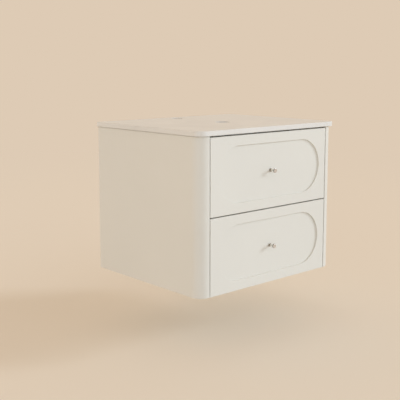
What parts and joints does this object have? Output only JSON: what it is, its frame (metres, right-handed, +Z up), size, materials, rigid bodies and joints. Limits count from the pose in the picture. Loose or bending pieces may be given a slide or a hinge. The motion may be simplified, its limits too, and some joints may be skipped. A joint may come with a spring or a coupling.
{
  "type": "wall-hung vanity cabinet",
  "caption": "Wall-hung bathroom vanity with rounded front corners, thin worktop with tap and waste holes, and full-extension drawers with capsule-shaped recessed fronts and knobs.",
  "frame": {"origin": "centre of the upper line of wall fixing holes, on the wall plane", "axes": "+X along the wall to the right of someone facing the drawers, +Y into the wall, +Z up"},
  "size_m": [0.56, 0.4755, 0.452],
  "materials": {
    "painted_board": "matte off-white lacquer on board",
    "worktop_stone": "honed off-white solid surface",
    "drawer_board": "white faced board",
    "packer_timber": "planed softwood",
    "runner_steel": "bright zinc-plated sheet steel",
    "cage_steel": "pressed steel with polished balls",
    "screw_steel": "zinc-plated steel",
    "knob_metal": "brushed warm nickel plate on brass",
    "joint_sealant": "cured off-white sealant"
  },
  "bodies": {
    "cabinet": {"left_side_panel": "painted_board", "right_side_panel": "painted_board", "left_corner_post": "painted_board", "right_corner_post": "painted_board", "base_panel": "painted_board", "front_rail": "painted_board", "middle_rail": "painted_board", "upper_wall_rail": "painted_board", "lower_wall_rail": "painted_board", "carcass_dowels": "packer_timber", "worktop_sealant": "joint_sealant", "worktop": "worktop_stone", "upper_left_packer": "packer_timber", "upper_right_packer": "packer_timber", "lower_left_packer": "packer_timber", "lower_right_packer": "packer_timber", "upper_left_runner_outer": "runner_steel", "upper_right_runner_outer": "runner_steel", "lower_left_runner_outer": "runner_steel", "lower_right_runner_outer": "runner_steel", "packer_screws": "screw_steel", "runner_screws": "screw_steel"},
    "upper_drawer": {"upper_left_runner_inner": "runner_steel", "upper_right_runner_inner": "runner_steel", "upper_front": "painted_board", "upper_inner_front": "drawer_board", "upper_left_side": "drawer_board", "upper_right_side": "drawer_board", "upper_left_back": "drawer_board", "upper_right_back": "drawer_board", "upper_well_left": "drawer_board", "upper_well_right": "drawer_board", "upper_well_front": "drawer_board", "upper_bottom": "drawer_board", "upper_knob": "knob_metal", "upper_knob_rosette": "knob_metal", "upper_knob_screw": "screw_steel", "upper_front_screws": "screw_steel", "upper_runner_screws": "screw_steel"},
    "lower_drawer": {"lower_left_runner_inner": "runner_steel", "lower_right_runner_inner": "runner_steel", "lower_front": "painted_board", "lower_inner_front": "drawer_board", "lower_left_side": "drawer_board", "lower_right_side": "drawer_board", "lower_back": "drawer_board", "lower_bottom": "drawer_board", "lower_knob": "knob_metal", "lower_knob_rosette": "knob_metal", "lower_knob_screw": "screw_steel", "lower_front_screws": "screw_steel", "lower_runner_screws": "screw_steel"},
    "upper_runner_middles": {"upper_left_runner_middle": "runner_steel", "upper_right_runner_middle": "runner_steel"},
    "lower_runner_middles": {"lower_left_runner_middle": "runner_steel", "lower_right_runner_middle": "runner_steel"},
    "upper_outer_cages": {"upper_outer_ball_cages": "cage_steel"},
    "lower_outer_cages": {"lower_outer_ball_cages": "cage_steel"},
    "upper_inner_cages": {"upper_inner_ball_cages": "cage_steel"},
    "lower_inner_cages": {"lower_inner_ball_cages": "cage_steel"}
  },
  "joints": [
    {"name": "upper_drawer_slide", "type": "slide", "parent": "cabinet", "child": "upper_drawer", "axis": [0, -1, 0], "range_m": [0, 0.35]},
    {"name": "lower_drawer_slide", "type": "slide", "parent": "cabinet", "child": "lower_drawer", "axis": [0, -1, 0], "range_m": [0, 0.35]},
    {"name": "upper_runner_middles_slide", "type": "slide", "parent": "cabinet", "child": "upper_runner_middles", "axis": [0, -1, 0], "range_m": [0, 0.175]},
    {"name": "upper_outer_cages_slide", "type": "slide", "parent": "cabinet", "child": "upper_outer_cages", "axis": [0, -1, 0], "range_m": [0, 0.0875]},
    {"name": "upper_inner_cages_slide", "type": "slide", "parent": "cabinet", "child": "upper_inner_cages", "axis": [0, -1, 0], "range_m": [0, 0.2625]},
    {"name": "lower_runner_middles_slide", "type": "slide", "parent": "cabinet", "child": "lower_runner_middles", "axis": [0, -1, 0], "range_m": [0, 0.175]},
    {"name": "lower_outer_cages_slide", "type": "slide", "parent": "cabinet", "child": "lower_outer_cages", "axis": [0, -1, 0], "range_m": [0, 0.0875]},
    {"name": "lower_inner_cages_slide", "type": "slide", "parent": "cabinet", "child": "lower_inner_cages", "axis": [0, -1, 0], "range_m": [0, 0.2625]}
  ],
  "couplings": [
    {"joint": "upper_runner_middles_slide", "follows": "upper_drawer_slide", "ratio": 0.5},
    {"joint": "upper_outer_cages_slide", "follows": "upper_drawer_slide", "ratio": 0.25},
    {"joint": "upper_inner_cages_slide", "follows": "upper_drawer_slide", "ratio": 0.75},
    {"joint": "lower_runner_middles_slide", "follows": "lower_drawer_slide", "ratio": 0.5},
    {"joint": "lower_outer_cages_slide", "follows": "lower_drawer_slide", "ratio": 0.25},
    {"joint": "lower_inner_cages_slide", "follows": "lower_drawer_slide", "ratio": 0.75}
  ]
}
